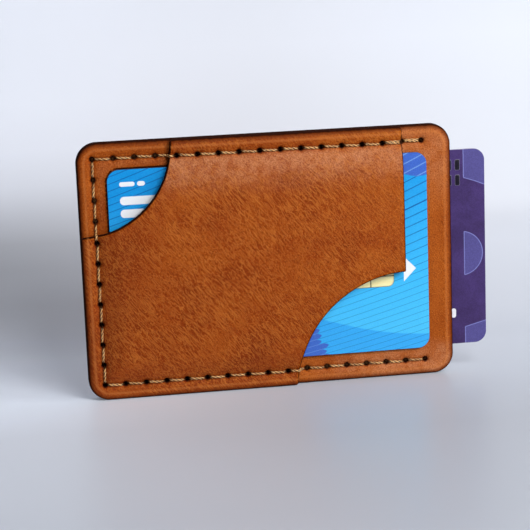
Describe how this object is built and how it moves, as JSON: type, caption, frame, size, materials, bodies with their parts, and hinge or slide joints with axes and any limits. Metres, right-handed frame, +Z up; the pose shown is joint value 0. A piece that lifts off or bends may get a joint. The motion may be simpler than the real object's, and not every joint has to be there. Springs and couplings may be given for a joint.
{
  "type": "minimalist card wallet",
  "caption": "Slim stitched leather card wallet with a front and a rear pocket, open on the right, holding a sliding card in each.",
  "frame": {"origin": "middle of the centre panel's bottom edge, halfway through its thickness", "axes": "+X along the wallet's long side towards the open side, +Z up the short side, +Y from the front pocket to the back panel"},
  "size_m": [0.1101, 0.0074, 0.0688],
  "materials": {
    "front_leather": "vegetable-tanned cognac leather, lightly waxed",
    "centre_leather": "vegetable-tanned cognac leather, fine pebble",
    "back_leather": "vegetable-tanned cognac leather, lightly waxed",
    "waxed_thread": "twisted waxed linen",
    "blue_card_plastic": "printed satin laminate",
    "violet_card_plastic": "printed satin laminate",
    "chip_contact": "gold-plated contact",
    "magnetic_tape": "smooth black oxide tape",
    "signature_paper": "matte writable strip"
  },
  "bodies": {
    "wallet": {"front_panel": "front_leather", "centre_panel": "centre_leather", "back_panel": "back_leather", "thread_strand_a": "waxed_thread", "thread_strand_b": "waxed_thread"},
    "front_card": {"front_card_body": "blue_card_plastic", "front_card_chip": "chip_contact", "front_card_magnetic_stripe": "magnetic_tape", "front_card_signature_strip": "signature_paper"},
    "rear_card": {"rear_card_body": "violet_card_plastic", "rear_card_chip": "chip_contact", "rear_card_magnetic_stripe": "magnetic_tape", "rear_card_signature_strip": "signature_paper"}
  },
  "joints": [
    {"name": "front_card_slide", "type": "slide", "parent": "wallet", "child": "front_card", "axis": [1, 0, 0], "range_m": [-0.0007, 0.093]},
    {"name": "rear_card_slide", "type": "slide", "parent": "wallet", "child": "rear_card", "axis": [1, 0, 0], "range_m": [-0.0175, 0.077]}
  ]
}
